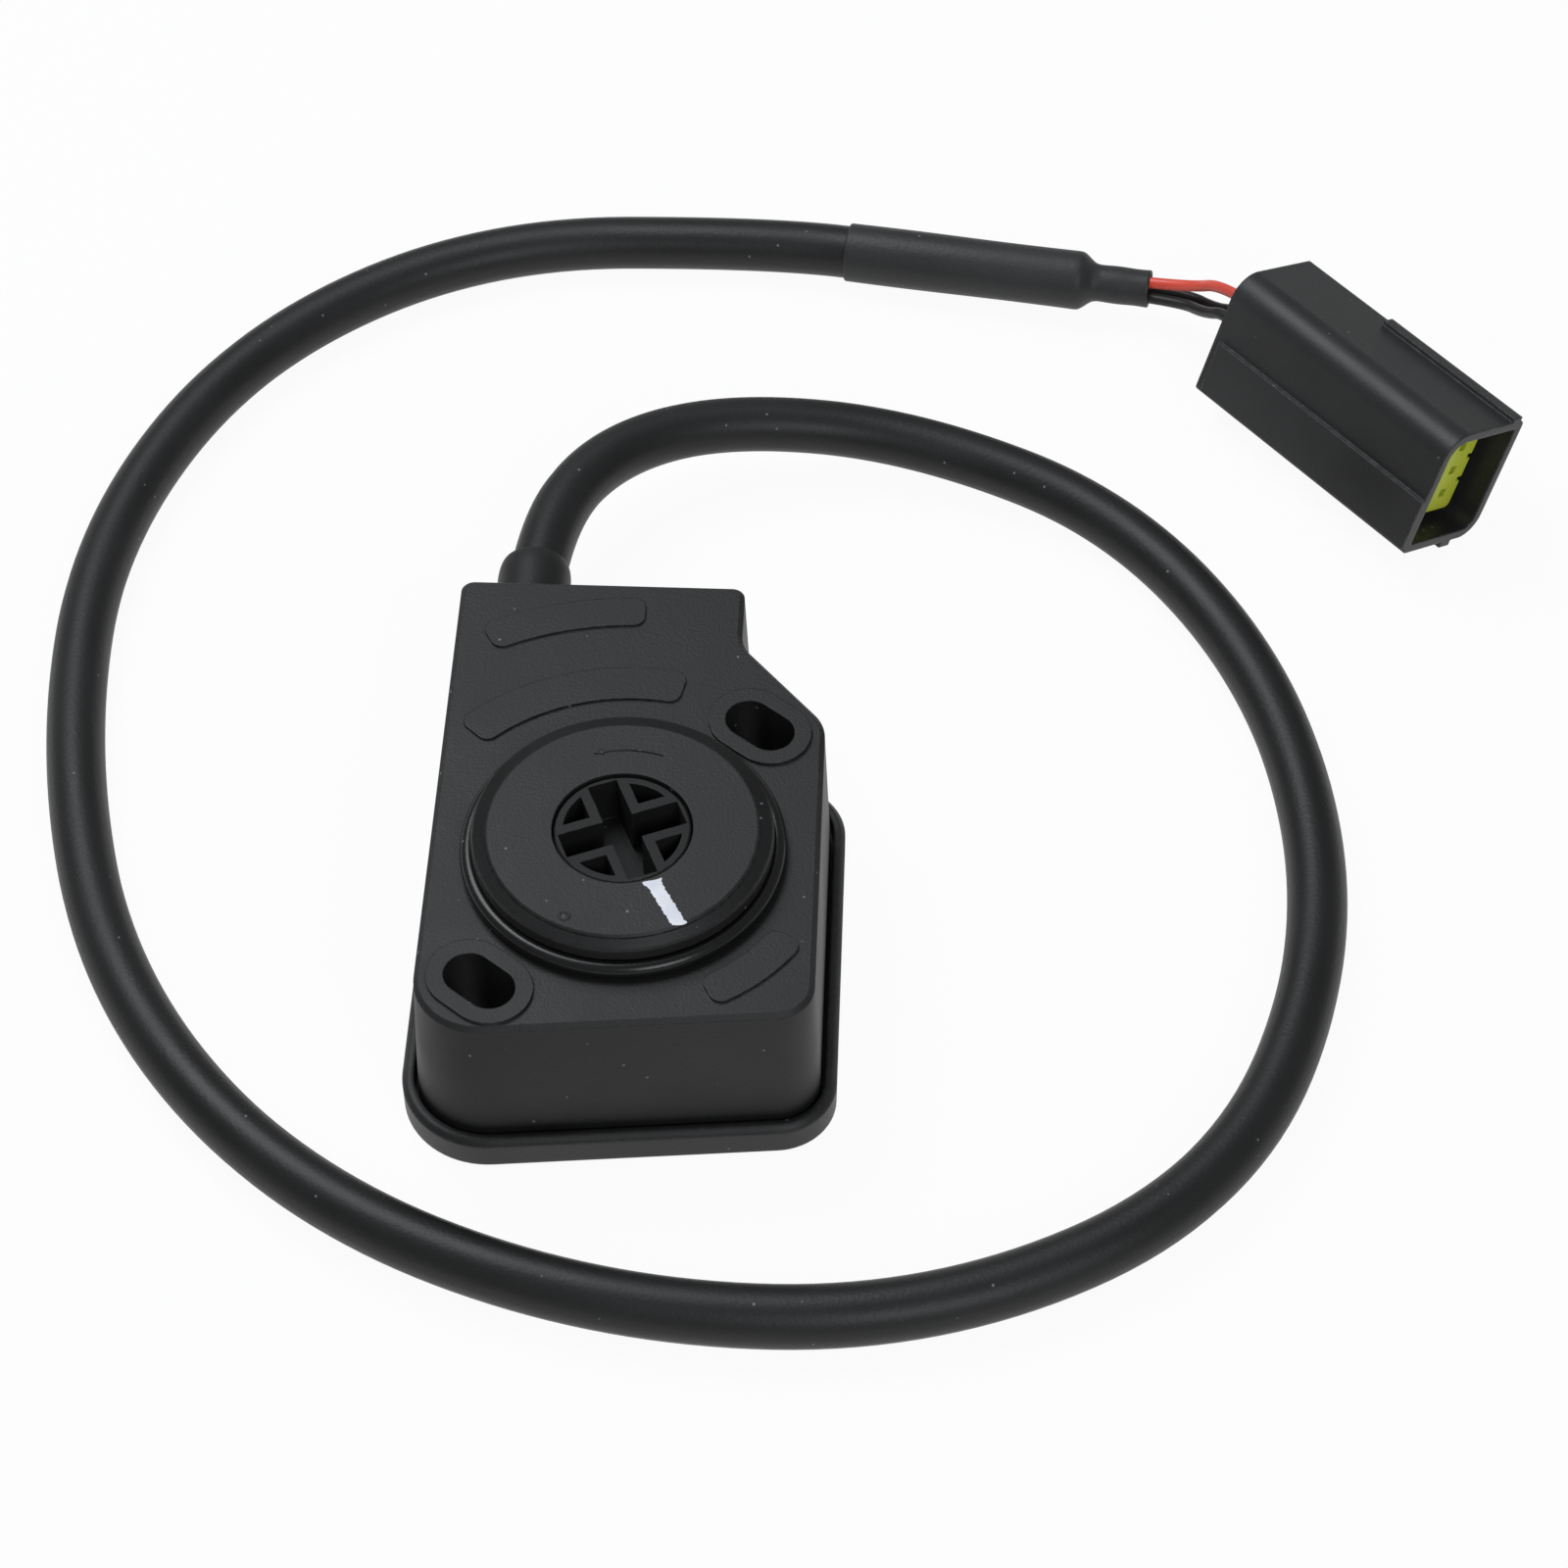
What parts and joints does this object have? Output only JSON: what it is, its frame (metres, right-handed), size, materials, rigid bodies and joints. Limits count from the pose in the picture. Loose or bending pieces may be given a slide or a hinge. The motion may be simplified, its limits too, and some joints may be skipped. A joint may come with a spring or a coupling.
{
  "type": "accelerator pedal position sensor",
  "caption": "Black rotary pedal position sensor with a cross-slot rotor in a round pilot, slotted mounting holes, a looped cable, shrink sleeve and sealed plug.",
  "frame": {"origin": "point of the base plane under the rotor axis", "axes": "+Z along the rotor axis out of the pilot, +Y from the rotor to the cable exit, +X to the right of that"},
  "size_m": [0.2048, 0.1992, 0.0297],
  "materials": {
    "housing_plastic": "satin moulded black",
    "cover_plastic": "satin moulded black",
    "rotor_plastic": "satin moulded black",
    "seal_rubber": "smooth, slightly glossy",
    "gland_rubber": "smooth matt",
    "cable_rubber": "matt",
    "sleeve_plastic": "shrunk, fine grain",
    "red_insulation": "smooth satin",
    "black_insulation": "smooth satin",
    "plug_plastic": "satin moulded black",
    "lock_plastic": "satin yellow-green",
    "bush_metal": "sintered, fine matt",
    "spring_steel": "bright drawn",
    "contact_metal": "tinned, satin",
    "board_resin": "lacquered green",
    "track_carbon": "printed, smooth"
  },
  "bodies": {
    "sensor": {"housing": "housing_plastic", "base_cover": "cover_plastic", "cover_seal": "seal_rubber", "pilot_seal_ring": "seal_rubber", "rotor_bush": "bush_metal", "return_spring": "spring_steel", "circuit_board": "board_resin", "resistor_tracks": "track_carbon", "board_screws": "spring_steel", "board_terminals": "contact_metal", "inner_lead_red": "red_insulation", "inner_leads_black": "black_insulation", "cable_gland": "gland_rubber", "cable": "cable_rubber", "shrink_sleeve": "sleeve_plastic", "red_wire": "red_insulation", "black_wires": "black_insulation", "plug_shell": "plug_plastic", "contact_block": "plug_plastic", "plug_lock": "lock_plastic", "plug_contacts": "contact_metal", "wire_seals": "seal_rubber", "way_blanks": "seal_rubber"},
    "rotor": {"rotor": "rotor_plastic", "rotor_seal": "seal_rubber", "wiper_carrier": "rotor_plastic", "retaining_clip": "spring_steel", "wiper": "contact_metal"}
  },
  "joints": [
    {"name": "rotor_turn", "type": "hinge", "parent": "sensor", "child": "rotor", "pos_m": [0, 0, 0.02], "axis": [0, 0, 1], "range_deg": [0, 70], "stiffness_Nm_per_rad": 0.02, "springref_deg": -20.05, "deforming": ["return_spring"]}
  ]
}
